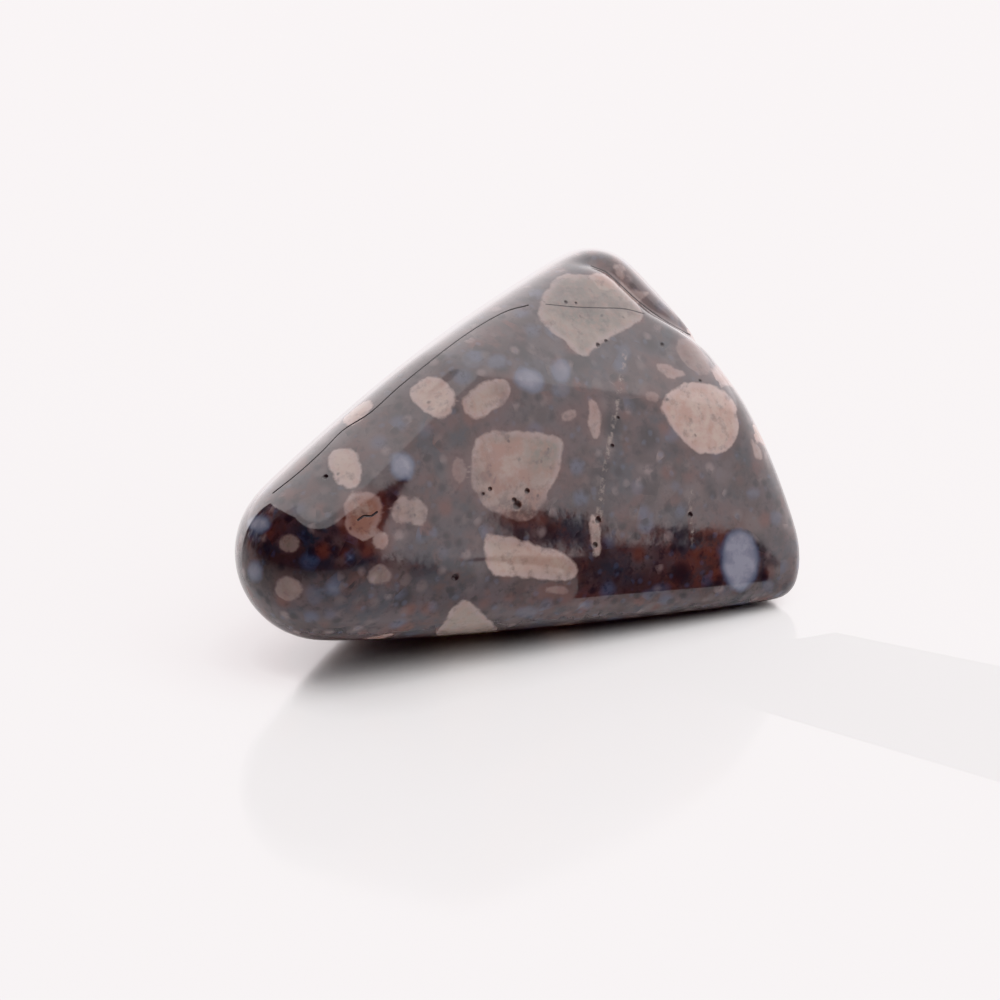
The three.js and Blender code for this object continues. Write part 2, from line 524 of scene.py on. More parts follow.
STAINS = {
    "rust": (
        Patch((705, 548), 34, 32, 1.0),
        Patch((690, 575), 45, 14, 0.8),
        Patch((735, 525), 22, 14, 0.5),
        Patch((528, 520), 26, 12, 0.55),
        Patch((372, 520), 34, 28, 0.9),
        Patch((430, 495), 18, 22, 0.45),
        Patch((262, 500), 14, 14, 0.7),
        Patch((447, 400), 16, 26, 0.35),
        Patch((585, 420), 16, 34, 0.35),
        Patch((650, 430), 34, 26, 0.5),
        Patch((560, 598), 50, 14, 0.6),
        Patch((660, 596), 50, 10, 0.35),
        Patch((640, 330), 14, 12, 0.3),
        Patch((660, 300), 22, 14, 0.3),
        Patch((487, 415), 20, 12, 0.4),
    ),
    "slate": (
        Patch((318, 540), 22, 34, 1.0),
        Patch((440, 560), 44, 34, 0.7),
        Patch((600, 345), 18, 16, 0.8),
        Patch((668, 340), 20, 22, 0.9),
        Patch((655, 440), 26, 24, 0.4),
        Patch((575, 515), 26, 22, 0.6),
        Patch((625, 570), 34, 14, 0.8),
        Patch((470, 385), 18, 12, 0.4),
        Patch((785, 560), 18, 34, 0.5),
        Patch((545, 400), 40, 26, 0.35),
        Patch((590, 300), 60, 34, 0.3),
    ),
    "altered": (
        Patch((545, 452), 20, 24, 1.0),
        Patch((500, 435), 26, 8, 0.6),
        Patch((590, 318), 60, 34, 1.0),
        Patch((455, 625), 16, 20, 0.6),
        Patch((497, 545), 14, 10, 0.3),
    ),
    "dusky": (
        Patch((520, 508), 36, 18, 1.0),
        Patch((478, 490), 12, 22, 0.8),
        Patch((533, 522), 22, 12, 0.8),
        Patch((565, 292), 16, 12, 0.55),
        Patch((590, 306), 50, 7, 0.5),
        Patch((560, 575), 30, 8, 0.3),
        Patch((410, 512), 4, 12, 1.0),
        Patch((398, 512), 3, 10, 0.7),
        Patch((424, 512), 3, 10, 0.6),
        Patch((503, 392), 10, 10, 0.6),
        Patch((288, 589), 12, 12, 0.4),
    ),
}


@dataclass
class StoneSkin:
    """The pebble's fine skin, with its relief and the fields that its finish reads.

    Attributes:
        hull: the smooth form.
        view: the front view that the features are placed in.
        ball_levels: how often the ball of rays is divided.
        ball_stretch: how the ball is drawn out, so that its rays spread evenly over the stone.
        groove_route: the places that the polished groove passes, in millimetres.
        groove_depth: how deep the groove is on its line, in millimetres.
        groove_half_width: how far from its line the groove has mostly run out, in millimetres.
        groove_fullness: how fully the groove keeps its depth towards its ends, as an even power.
        refine_bands: how near a crack or pit the mesh is halved, once for each, in millimetres.
        wave_count: how many slight waves cross the skin.
        wave_height: the height of each wave in millimetres.
        wave_lengths: the shortest and longest wave in millimetres.
        seed: what the random draws start from.
    """

    hull: Hull
    view: FaceView
    ball_levels: int = 7
    ball_stretch: Place = (1.6, 1.0, 0.95)
    groove_route: tuple[Place, ...] = (
        (6.2, 3.4, 20.2), (7.9, 2.7, 19.8), (9.5, 1.4, 18.2), (10.6, 0.9, 17.3), (12.7, 1.0, 15.8),
        (14.0, 2.2, 13.6),
    )
    groove_depth: float = 0.3
    groove_half_width: float = 0.6
    groove_fullness: int = 6
    refine_bands: tuple[float, ...] = (0.55, 0.28, 0.16)
    wave_count: int = 14
    wave_height: float = 0.004
    wave_lengths: tuple[float, float] = (5.0, 12.0)
    seed: int = 41

    def __post_init__(self) -> None:
        """Lay out the rays and find the skin, finer near its small features."""
        self.random = np.random.default_rng(self.seed)
        self.rays, self.faces = self.ball()
        self.base, self.normals = self.hull.along(self.rays)
        self.routes = {name: self.pixel_route(line.route) for name, line in LINES.items()}
        self.pit_places = [self.on_skin(pit.pixel)[0] for pit in PITS]
        for band in self.refine_bands:
            self.refine(self.fine_distance() < band)
        self.groove = smooth_route(np.array(self.groove_route))

    def ball(self) -> tuple[np.ndarray, np.ndarray]:
        """Return the directions and faces of a drawn-out ball."""
        mesh = bmesh.new()
        bmesh.ops.create_icosphere(mesh, subdivisions=self.ball_levels, radius=1.0)
        rays = np.array([vertex.co[:] for vertex in mesh.verts]) * np.array(self.ball_stretch)
        faces = np.array([[vertex.index for vertex in face.verts] for face in mesh.faces])
        mesh.free()
        return unit(rays), faces

    def on_skin(self, pixel: Pixel) -> tuple[np.ndarray, np.ndarray]:
        """Find what a picture pixel shows.

        Args:
            pixel: a pixel of the front view.

        Returns:
            The nearest place on the smooth skin that faces the view, and its outward direction.
        """
        facing = np.flatnonzero(dot(self.view.eye() - self.base, self.normals) > 0)
        offsets = self.view.pixels_of(self.base[facing]) - np.array(pixel)
        nearest = facing[(offsets ** 2).sum(axis=1).argmin()]
        normal, sight = self.normals[nearest], self.view.sight(pixel)
        reach = (self.base[nearest] - self.view.eye()) @ normal / (sight @ normal)
        return self.view.eye() + reach * sight, normal

    def pixel_route(self, pixels: tuple[Pixel, ...]) -> np.ndarray:
        """Return a smooth route on the skin through picture pixels."""
        drawn = smooth_route(np.array(pixels, dtype=float), samples=8)
        return smooth_route(np.array([self.on_skin(pixel)[0] for pixel in drawn]), samples=6)

    def fine_distance(self) -> np.ndarray:
        """Return how far each vertex is from the nearest crack or pit."""
        nearest = np.full(len(self.base), np.inf)
        for name, line in LINES.items():
            if line.depth > 0:
                nearest = np.minimum(nearest, distance_to_route(self.base, self.routes[name]))
        for place, pit in zip(self.pit_places, PITS):
            nearest = np.minimum(nearest, np.linalg.norm(self.base - place, axis=1) - pit.radius / 2)
        return nearest

    def refine(self, near: np.ndarray) -> None:
        """Halve every edge between two near vertices, with the faces that share it.

        Args:
            near: for each vertex, whether it is near a small feature.
        """
        edges = np.sort(self.faces[:, [[0, 1], [1, 2], [2, 0]]], axis=2)
        marked = near[edges].all(axis=2)
        halved, place = np.unique(edges[marked], axis=0, return_inverse=True)
        middle = np.full(marked.shape, -1)
        middle[marked] = len(self.rays) + place.ravel()
        count = marked.sum(axis=1)
        corners, middles = self.faces[count == 3].T, middle[count == 3].T
        quarters = [
            np.stack([corners[0], middles[0], middles[2]], axis=1),
            np.stack([middles[0], corners[1], middles[1]], axis=1),
            np.stack([middles[2], middles[1], corners[2]], axis=1),
            np.stack([middles[0], middles[1], middles[2]], axis=1),
        ]
        single = count == 1
        side = marked[single].argmax(axis=1)[:, None]
        start, end, opposite = np.take_along_axis(self.faces[single], (side + np.arange(3)) % 3, axis=1).T
        between = middle[single].max(axis=1)
        halves = [np.stack([start, between, opposite], axis=1), np.stack([between, end, opposite], axis=1)]
        self.faces = np.vstack([self.faces[count == 0], *quarters, *halves])
        fresh = unit(self.rays[halved[:, 0]] + self.rays[halved[:, 1]])
        self.rays = np.vstack([self.rays, fresh])
        points, normals = self.hull.along(fresh)
        self.base = np.vstack([self.base, points])
        self.normals = np.vstack([self.normals, normals])

    def waves(self) -> np.ndarray:
        """Return the slight waves that tumbling leaves, in millimetres."""
        total = np.zeros(len(self.base))
        for _ in range(self.wave_count):
            direction = unit(self.random.normal(size=3))
            length = self.random.uniform(*self.wave_lengths)
            phase = self.random.uniform(0, 2 * math.pi)
            total += np.sin(self.base @ direction * 2 * math.pi / length + phase)
        return total * self.wave_height

    def groove_share(self) -> np.ndarray:
        """Return how much of the groove's full depth each vertex has."""
        share = np.zeros(len(self.base))
        for from_middle, place in zip(np.linspace(-1, 1, len(self.groove)), self.groove):
            spread = ((self.base - place) ** 2).sum(axis=1) / self.groove_half_width ** 2
            share = np.maximum(share, (1 - from_middle ** self.groove_fullness) * np.exp(-spread))
        return share

    def points(self) -> np.ndarray:
        """Return the finished skin: hull, waves, groove, cracks and pits, flat on the ground."""
        rise = self.waves()
        rise -= self.groove_depth * self.groove_share()
        for name, line in LINES.items():
            if line.depth > 0:
                share = distance_to_route(self.base, self.routes[name]) / (line.width / 2)
                rise -= line.depth * np.clip(1 - share, 0, 1)
        for place, pit in zip(self.pit_places, PITS):
            share = np.linalg.norm(self.base - place, axis=1) / pit.radius
            rise -= pit.depth * np.clip(1 - share ** 2, 0, 1) ** 2
        points = self.base + rise[:, None] * self.normals
        points[:, 2] = np.maximum(points[:, 2], 0.0)
        return points


def polygon_depth(points: np.ndarray, outline: np.ndarray) -> np.ndarray:
    """Measure how deep points lie inside a flat outline.

    Args:
        points: flat places, one in each row.
        outline: the outline's corners, in order.

    Returns:
        The distance to the outline, above zero inside it.
    """
    nearest = np.full(len(points), np.inf)
    inside = np.zeros(len(points), dtype=bool)
    for start, end in zip(outline, np.roll(outline, -1, axis=0)):
        along = end - start
        share = np.clip(((points - start) @ along) / max(along @ along, 1e-9), 0, 1)
        nearest = np.minimum(nearest, np.linalg.norm(points - start - share[:, None] * along, axis=1))
        crosses = (start[1] > points[:, 1]) != (end[1] > points[:, 1])
        rise = np.where(abs(along[1]) > 1e-9, along[1], 1e-9)
        inside ^= crosses & (points[:, 0] < start[0] + (points[:, 1] - start[1]) * along[0] / rise)
    return np.where(inside, nearest, -nearest)


def cut_corners(outline: np.ndarray, times: int = 2, cut: float = 0.2) -> np.ndarray:
    """Round an outline's corners by cutting a fifth off each end of each side, again and again."""
    for _ in range(times):
        following = np.roll(outline, -1, axis=0)
        starts = (1 - cut) * outline + cut * following
        ends = cut * outline + (1 - cut) * following
        outline = np.stack([starts, ends], axis=1).reshape(-1, 2)
    return outline


@dataclass
class Markings:
    """The crystals, stains and lines of the rock, as fields over the skin's vertices.

    Attributes:
        skin: the skin that they are measured on.
        loose_feldspars: how many feldspars to try to place where the front view doesn't reach.
        loose_quartzes: how many quartz eyes to try to place there.
        feldspar_radii: the least and largest radius of those feldspars, in millimetres.
        quartz_radii: the least and largest radius of those quartz eyes, in millimetres.
        gap: how far apart the placed crystals stay, in millimetres.
        seen_from: how squarely a place has to face the camera to count as seen, from 0 to 1.
        seen_margin: how much more squarely any part of a placed crystal may face it.
        stain_falloff: how quickly a stain fades outward.
        edge_fade: how soon the stains fade where the skin turns away from the camera.
    """

    skin: StoneSkin
    loose_feldspars: int = 150
    loose_quartzes: int = 260
    feldspar_radii: tuple[float, float] = (0.6, 2.1)
    quartz_radii: tuple[float, float] = (0.3, 1.0)
    gap: float = 0.35
    seen_from: float = 0.22
    seen_margin: float = 0.1
    stain_falloff: float = 0.7
    edge_fade: float = 4.0

    def __post_init__(self) -> None:
        """Measure every field."""
        count = len(self.skin.base)
        self.random = np.random.default_rng(self.skin.seed + 1)
        self.fields = {
            name: np.full(count, start)
            for name, start in {
                "feldspar": -FAR, "feldspar_pink": 0.4, "feldspar_green": 0.0, "feldspar_light": 0.8,
                "quartz": -FAR, "quartz_light": 0.7, "pit": 0.0, "crack": FAR, "vein": FAR, "groove": 0.0,
            }.items()
        }
        for crystal in FELDSPARS.values():
            self.add(Mineral.FELDSPAR, self.flat_depth(crystal), crystal)
        for crystal in QUARTZES.values():
            self.add(Mineral.QUARTZ, self.flat_depth(crystal), crystal)
        self.scatter(Mineral.FELDSPAR, self.loose_feldspars, self.feldspar_radii)
        self.scatter(Mineral.QUARTZ, self.loose_quartzes, self.quartz_radii)
        for name, patches in STAINS.items():
            self.fields[name] = self.stain(patches)
        for place, pit in zip(self.skin.pit_places, PITS):
            share = np.linalg.norm(self.skin.base - place, axis=1) / pit.radius
            self.fields["pit"] = np.maximum(self.fields["pit"], 1 - share ** 2)
        for name, line in LINES.items():
            gap = distance_to_route(self.skin.base, self.skin.routes[name]) - line.width / 2
            self.fields[line.kind.value] = np.minimum(self.fields[line.kind.value], gap)
        self.fields["groove"] = self.skin.groove_share()

    def flat_depth(self, crystal: Crystal) -> np.ndarray:
        """Measure how deep each vertex lies inside a crystal of the front view.

        Args:
            crystal: the crystal, whose sides run straight into the stone from its outline.

        Returns:
            The distance to its faces in millimetres, above zero inside it.
        """
        found = [self.skin.on_skin(pixel) for pixel in crystal.outline]
        corners = np.array([place for place, _ in found])
        outward = unit(np.mean([normal for _, normal in found], axis=0))
        right = self.skin.view.axes()[0]
        across = unit(right - (right @ outward) * outward)
        flat = np.stack([across, np.cross(outward, across)], axis=1)
        middle = corners.mean(axis=0)
        reach = np.linalg.norm(corners - middle, axis=1).max() + FAR
        offsets = self.skin.base - middle
        near = np.linalg.norm(offsets, axis=1) < reach
        depth = np.full(len(offsets), -FAR)
        sideways = polygon_depth(offsets[near] @ flat, cut_corners((corners - middle) @ flat))
        depth[near] = np.minimum(sideways, crystal.depth - np.abs(offsets[near] @ outward))
        return depth

    def add(self, mineral: Mineral, depth: np.ndarray, crystal: Crystal) -> None:
        """Lay one crystal over the fields of its mineral.

        Args:
            mineral: what it is made of.
            depth: how deep each vertex lies inside it.
            crystal: its tints.
        """
        name = mineral.value
        over = depth > self.fields[name]
        self.fields[name][over] = depth[over]
        self.fields[f"{name}_light"][over] = crystal.light
        if mineral is Mineral.FELDSPAR:
            self.fields["feldspar_pink"][over] = crystal.pink
            self.fields["feldspar_green"][over] = crystal.green

    def scatter(self, mineral: Mineral, tries: int, radii: tuple[float, float]) -> None:
        """Place more crystals where the front view doesn't reach, clear of those already there.

        Args:
            mineral: what they are made of.
            tries: how many to try to place.
            radii: their least and largest radius in millimetres.
        """
        base, eye = self.skin.base, self.skin.view.eye()
        facing = dot(unit(eye - base), self.skin.normals)
        hidden = np.flatnonzero(facing < self.seen_from)
        for _ in range(tries):
            centre = base[self.random.choice(hidden)]
            radius = radii[0] + (radii[1] - radii[0]) * self.random.random() ** 2
            offsets = base - centre
            near = np.linalg.norm(offsets, axis=1) < radius + self.gap
            taken = max(self.fields[kind.value][near].max() for kind in Mineral)
            blocked = taken > -self.gap or facing[near].max() > self.seen_from + self.seen_margin
            crystal = Crystal(
                (), pink=self.random.uniform(0.1, 0.9), green=max(0.0, self.random.uniform(-0.8, 0.9)),
                light=self.random.uniform(0.5, 1.1),
            )
            shape = self.block_depth if mineral is Mineral.FELDSPAR else self.egg_depth
            depth = shape(offsets, radius)
            if not blocked:
                self.add(mineral, depth, crystal)

    def block_depth(
        self, offsets: np.ndarray, radius: float, sides: int = 9, reach: float = 1.5,
    ) -> np.ndarray:
        """Measure depth inside a flat-sided block of random make.

        Args:
            offsets: the vertices, measured from its middle.
            radius: its size in millimetres.
            sides: how many flat sides it has.
            reach: how far it may stretch where no side ends it, as a share of its size.

        Returns:
            The distance to its sides, above zero inside it.
        """
        directions = unit(self.random.normal(size=(sides, 3)))
        reaches = radius * self.random.uniform(0.6, 1.0, size=sides)
        depth = (reaches - offsets @ directions.T).min(axis=1)
        near = np.linalg.norm(offsets, axis=1) < radius * reach + FAR
        return np.where(near, np.maximum(depth, -FAR), -FAR)

    def egg_depth(self, offsets: np.ndarray, radius: float) -> np.ndarray:
        """Measure depth inside an egg of random tilt.

        Args:
            offsets: the vertices, measured from its middle.
            radius: its long radius in millimetres.

        Returns:
            The distance to its skin, above zero inside it.
        """
        long_axis = unit(self.random.normal(size=3))
        slimness = self.random.uniform(0.6, 0.95)
        along = offsets @ long_axis
        off_axis = np.sqrt(np.maximum((offsets ** 2).sum(axis=1) - along ** 2, 0.0))
        short_radius = radius * slimness
        depth = short_radius * (1 - np.hypot(along / radius, off_axis / short_radius))
        return np.maximum(depth, -FAR)

    def stain(self, patches: tuple[Patch, ...]) -> np.ndarray:
        """Return how strongly soft patches of the front view stain each vertex."""
        skin = self.skin
        pixels = skin.view.pixels_of(skin.base)
        seen = np.clip(dot(unit(skin.view.eye() - skin.base), skin.normals) * self.edge_fade, 0, 1)
        total = np.zeros(len(skin.base))
        for patch in patches:
            offsets = (pixels - np.array(patch.pixel)) / np.array([patch.across, patch.down])
            faded = patch.strength * np.exp(-self.stain_falloff * (offsets ** 2).sum(axis=1))
            total = np.maximum(total, faded)
        return total * seen


class Wiring:
    """A node tree that is being wired, with short calls for its common nodes."""

    def __init__(self, tree: bpy.types.NodeTree) -> None:
        """Start with the tree's own nodes cleared.

        Args:
            tree: the tree to wire.
        """
        self.tree = tree
        self.tree.nodes.clear()

    def node(self, kind: str, **settings: object) -> bpy.types.Node:
        """Add a node.

        Args:
            kind: the node's type.
            settings: its own settings, by name.

        Returns:
            The node.
        """
        made = self.tree.nodes.new(kind)
        for name, value in settings.items():
            setattr(made, name, value)
        return made

    def feed(self, socket: Socket, value: Value) -> None:
        """Link a socket to another, or set it to a plain value.

        Args:
            socket: the socket that takes the value.
            value: an output socket, a number or a colour.
        """
        if isinstance(value, bpy.types.NodeSocket):
            self.tree.links.new(value, socket)
        else:
            socket.default_value = value

    def math(self, operation: str, first: Value, second: Value = 0.0) -> Socket:
        """Combine two numbers.

        Args:
            operation: the name of the sum.
            first: the first number or socket.
            second: the second number or socket.

        Returns:
            The result.
        """
        made = self.node("ShaderNodeMath", operation=operation)
        self.feed(made.inputs[0], first)
        self.feed(made.inputs[1], second)
        return made.outputs[0]

    def times(self, first: Value, second: Value) -> Socket:
        """Multiply two numbers."""
        return self.math("MULTIPLY", first, second)

    def larger(self, first: Value, second: Value) -> Socket:
        """Return the larger of two numbers."""
        return self.math("MAXIMUM", first, second)

    def between(self, share: Value, start: float, rise: float) -> Socket:
        """Turn a share from 0 to 1 into start and up, by rise at most."""
        return self.math("ADD", start, self.times(share, rise))

    def mix(self, share: Value, under: Value, over: Value) -> Socket:
        """Lay one colour over another.

        Args:
            share: how much of the upper colour shows.
            under: the lower colour.
            over: the upper colour.

        Returns:
            The mixed colour.
        """
        made = self.node("ShaderNodeMix", data_type="RGBA")
        self.feed(made.inputs[0], share)
        self.feed(made.inputs[6], under)
        self.feed(made.inputs[7], over)
        return made.outputs[2]

    def ramp(self, value: Value, low: Value, high: Value, start: float = 0.0, end: float = 1.0) -> Socket:
        """Turn a value smoothly from one number into another.

        Args:
            value: the value that is read.
            low: where the turn starts.
            high: where the turn ends.
            start: the result up to low.
            end: the result from high.

        Returns:
            The result.
        """
        made = self.node("ShaderNodeMapRange", interpolation_type="SMOOTHSTEP")
        for index, part in enumerate((value, low, high, start, end)):
            self.feed(made.inputs[index], part)
        return made.outputs[0]

    def field(self, name: str) -> Socket:
        """Read one of the skin's fields."""
        return self.node("ShaderNodeAttribute", attribute_name=name).outputs["Fac"]

    def group(self, tree: bpy.types.NodeTree, **values: Value) -> bpy.types.Node:
        """Place a node group.

        Args:
            tree: the group.
            values: what its sockets take, by name.

        Returns:
            The placed group.
        """
        made = self.node("ShaderNodeGroup", node_tree=tree)
        for name, value in values.items():
            self.feed(made.inputs[name], value)
        return made


def new_group(
    name: str, inputs: dict[str, str], outputs: dict[str, str],
) -> tuple[Wiring, bpy.types.Node, bpy.types.Node]:
    """Start a node group with named sockets.

    Args:
        name: the group's name.
        inputs: the kind of each input socket, by its name.
        outputs: the kind of each output socket, by its name.

    Returns:
        The group's wiring, its input node and its output node.
    """
    tree = bpy.data.node_groups.new(name, "ShaderNodeTree")
    for direction, sockets in (("INPUT", inputs), ("OUTPUT", outputs)):
        for label, kind in sockets.items():
            tree.interface.new_socket(label, in_out=direction, socket_type=f"NodeSocket{kind}")
    wiring = Wiring(tree)
    return wiring, wiring.node("NodeGroupInput"), wiring.node("NodeGroupOutput")


def cloud_group() -> bpy.types.NodeTree:
    """Build the group that gives soft cloudy patches of one grain size.

    Returns:
        A group that gives a share from 0 to 1.
    """
    wiring, given, made = new_group(
        "cloud", {"Place": "Vector", "Grain": "Float", "Low": "Float", "High": "Float"}, {"Share": "Float"},
    )
    noise = wiring.node("ShaderNodeTexNoise")
    noise.inputs["Detail"].default_value = 4.0
    noise.inputs["Roughness"].default_value = 0.6
    wiring.feed(noise.inputs["Vector"], given.outputs["Place"])
    wiring.feed(noise.inputs["Scale"], given.outputs["Grain"])
    share = wiring.ramp(noise.outputs["Fac"], given.outputs["Low"], given.outputs["High"])
    wiring.feed(made.inputs["Share"], share)
    return wiring.tree


def grains_group() -> bpy.types.NodeTree:
    """Build the group that gives small separate grains.

    Returns:
        A group that gives a mask, 1 inside a grain.
    """
    wiring, given, made = new_group(
        "grains",
        {"Place": "Vector", "Grain": "Float", "Radius": "Float", "Share": "Float"},
        {"Mask": "Float"},
    )
    warp = wiring.node("ShaderNodeTexNoise")
    wiring.feed(warp.inputs["Vector"], given.outputs["Place"])
    wiring.feed(warp.inputs["Scale"], given.outputs["Grain"])
    bent = wiring.node("ShaderNodeVectorMath", operation="MULTIPLY_ADD")
    wiring.feed(bent.inputs[0], warp.outputs["Color"])
    bent.inputs[1].default_value = (0.25, 0.25, 0.25)
    wiring.feed(bent.inputs[2], given.outputs["Place"])
    cells = wiring.node("ShaderNodeTexVoronoi")
    wiring.feed(cells.inputs["Vector"], bent.outputs[0])
    wiring.feed(cells.inputs["Scale"], given.outputs["Grain"])
    inner = wiring.times(given.outputs["Radius"], 0.25)
    disc = wiring.ramp(cells.outputs["Distance"], inner, given.outputs["Radius"], 1.0, 0.0)
    parts = wiring.node("ShaderNodeSeparateColor")
    wiring.feed(parts.inputs[0], cells.outputs["Color"])
    chosen = wiring.math("LESS_THAN", parts.outputs[0], given.outputs["Share"])
    wiring.feed(made.inputs["Mask"], wiring.times(disc, chosen))
    return wiring.tree


def frayed_group() -> bpy.types.NodeTree:
    """Build the group that turns a depth in millimetres into a mask with a slightly ragged edge.

    Returns:
        A group that gives a mask, 1 inside.
    """
    wiring, given, made = new_group(
        "frayed edge",
        {"Place": "Vector", "Depth": "Float", "Fray": "Float", "Grain": "Float", "Softness": "Float"},
        {"Mask": "Float"},
    )
    noise = wiring.node("ShaderNodeTexNoise")
    noise.inputs["Detail"].default_value = 3.0
    wiring.feed(noise.inputs["Vector"], given.outputs["Place"])
    wiring.feed(noise.inputs["Scale"], given.outputs["Grain"])
    centred = wiring.math("SUBTRACT", noise.outputs["Fac"], 0.5)
    frayed = wiring.times(centred, given.outputs["Fray"])
    moved = wiring.math("ADD", frayed, given.outputs["Depth"])
    below = wiring.times(given.outputs["Softness"], -1.0)
    wiring.feed(made.inputs["Mask"], wiring.ramp(moved, below, given.outputs["Softness"]))
    return wiring.tree


class RockWiring(Wiring):
    """The wiring of the rock's material, with the place on the stone and the groups at hand."""

    def __init__(self, tree: bpy.types.NodeTree) -> None:
        """Clear the tree, build the groups and find the place on the stone in millimetres.

        Args:
            tree: the material's tree.
        """
        super().__init__(tree)
        self.cloud, self.cells, self.frayed = cloud_group(), grains_group(), frayed_group()
        coordinates = self.node("ShaderNodeTexCoord")
        scaled = self.node("ShaderNodeVectorMath", operation="SCALE")
        self.feed(scaled.inputs[0], coordinates.outputs["Object"])
        scaled.inputs["Scale"].default_value = 1 / MM
        self.place = scaled.outputs[0]

    def patches(self, grain: float, low: float, high: float) -> Socket:
        """Give soft patches.

        Args:
            grain: how many there are to a millimetre.
            low: the noise at which a patch starts.
            high: the noise at which it is full.

        Returns:
            A share from 0 to 1.
        """
        return self.group(self.cloud, Place=self.place, Grain=grain, Low=low, High=high).outputs["Share"]

    def grains(self, grain: float, radius: float, share: float) -> Socket:
        """Give small separate grains.

        Args:
            grain: how many cells there are to a millimetre.
            radius: a grain's radius as a share of its cell.
            share: the share of the cells that hold a grain.

        Returns:
            A mask, 1 inside a grain.
        """
        placed = self.group(self.cells, Place=self.place, Grain=grain, Radius=radius, Share=share)
        return placed.outputs["Mask"]

    def inside(self, field: str, fray: float, grain: float, softness: float) -> Socket:
        """Give the inside of a mineral's crystals.

        Args:
            field: the skin's field that holds the depth inside them.
            fray: how ragged their edge is, in millimetres.
            grain: how many notches there are to a millimetre.
            softness: how wide the edge is, in millimetres.

        Returns:
            A mask, 1 inside.
        """
        depth = self.field(field)
        placed = self.group(
            self.frayed, Place=self.place, Depth=depth, Fray=fray, Grain=grain, Softness=softness,
        )
        return placed.outputs["Mask"]


def solid(colour: Colour) -> tuple[float, float, float, float]:
    """Return a colour with full cover."""
    return (*colour, 1.0)


